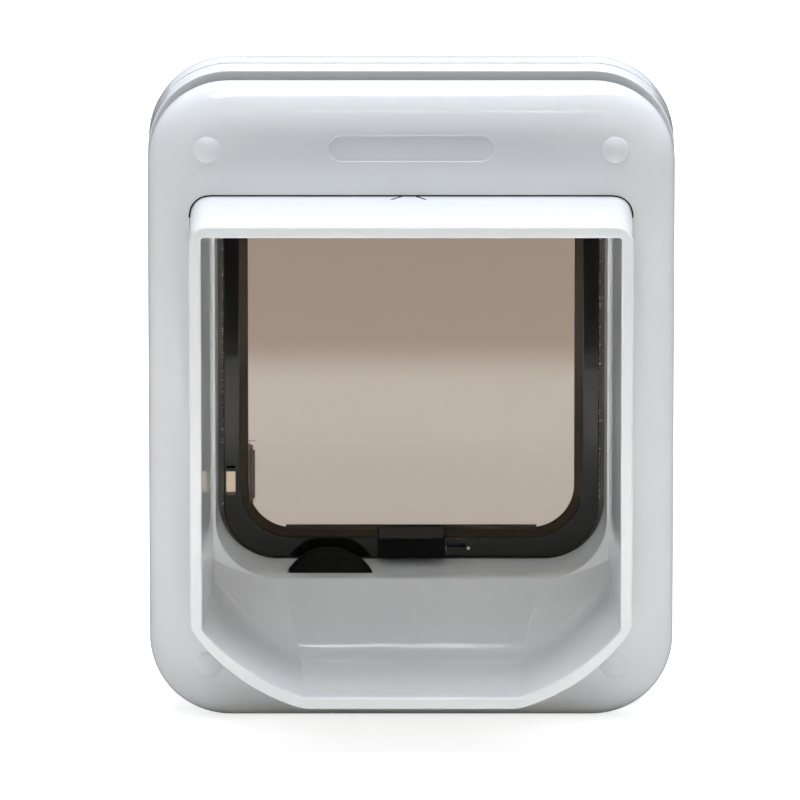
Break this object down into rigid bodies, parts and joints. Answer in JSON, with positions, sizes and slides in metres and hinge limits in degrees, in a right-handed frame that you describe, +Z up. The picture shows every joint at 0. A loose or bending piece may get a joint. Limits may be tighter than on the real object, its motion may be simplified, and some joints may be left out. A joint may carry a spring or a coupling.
{
  "type": "cat flap",
  "caption": "White hooded cat flap with a smoked swinging flap, a cam lock, and a battery housing indoors.",
  "frame": {"origin": "under the middle of the product, at the centre of its bounding box, on the surface it stands on", "axes": "+Z up, -Y outdoors towards the hood, +Y indoors towards the housing, +X right as seen from outdoors"},
  "size_m": [0.225, 0.1304, 0.282],
  "materials": {
    "white": "gloss",
    "black": "gloss",
    "dark": "satin",
    "matte_black": "matte",
    "smoked": "gloss",
    "pile": "matte",
    "steel": "satin",
    "copper": "satin",
    "magnet": "satin",
    "cell": "satin",
    "board": "satin",
    "lens": "gloss"
  },
  "bodies": {
    "casing": {"tunnel_hood": "white", "antenna_coil": "copper", "exterior_frame": "white", "screw_cap_upper_left": "white", "screw_cap_upper_right": "white", "screw_cap_lower_left": "white", "screw_cap_lower_right": "white", "frame_screws": "steel", "housing_front": "white", "case_screws": "steel", "housing_rear": "white", "battery_tray": "dark", "battery_1": "cell", "battery_2": "cell", "battery_3": "cell", "battery_4": "cell", "contact_plates": "steel", "contact_springs": "steel", "flap_holder": "white", "frame_magnet": "magnet", "brush_seal": "pile", "hinge_pin_left": "steel", "hinge_pin_right": "steel", "detent_spring": "steel", "latch_solenoid": "steel", "latch_bracket": "dark", "circuit_board": "board", "control_chip": "matte_black", "button_switch": "matte_black", "status_light": "lens"},
    "flap": {"flap_surround": "black", "flap_window": "smoked", "flap_magnet_block": "black", "flap_magnet": "magnet", "latch_striker": "steel"},
    "lock": {"front_cam": "matte_black", "rear_cam": "matte_black", "lock_shaft": "dark", "lock_knob": "dark"},
    "latch": {"latch_bolt": "steel"},
    "button": {"learn_button": "dark"},
    "cover": {"battery_cover": "white"}
  },
  "joints": [
    {"name": "flap_swing", "type": "hinge", "parent": "casing", "child": "flap", "pos_m": [0, 0.0228, 0.222], "axis": [1, 0, 0], "range_deg": [-2.5, 80]},
    {"name": "lock_turn", "type": "hinge", "parent": "casing", "child": "lock", "pos_m": [-0.03495, 0, 0.051], "axis": [0, -1, 0], "range_deg": [-120, 120]},
    {"name": "latch_lift", "type": "slide", "parent": "casing", "child": "latch", "axis": [0, 0, 1], "range_m": [0, 0.006]},
    {"name": "button_press", "type": "slide", "parent": "casing", "child": "button", "axis": [0, -1, 0], "range_m": [0, 0.001], "stiffness_N_per_m": 300, "springref_m": -0.001},
    {"name": "battery_lift", "type": "slide", "parent": "casing", "child": "cover", "axis": [0, 0, 1], "range_m": [0, 0.03]}
  ]
}
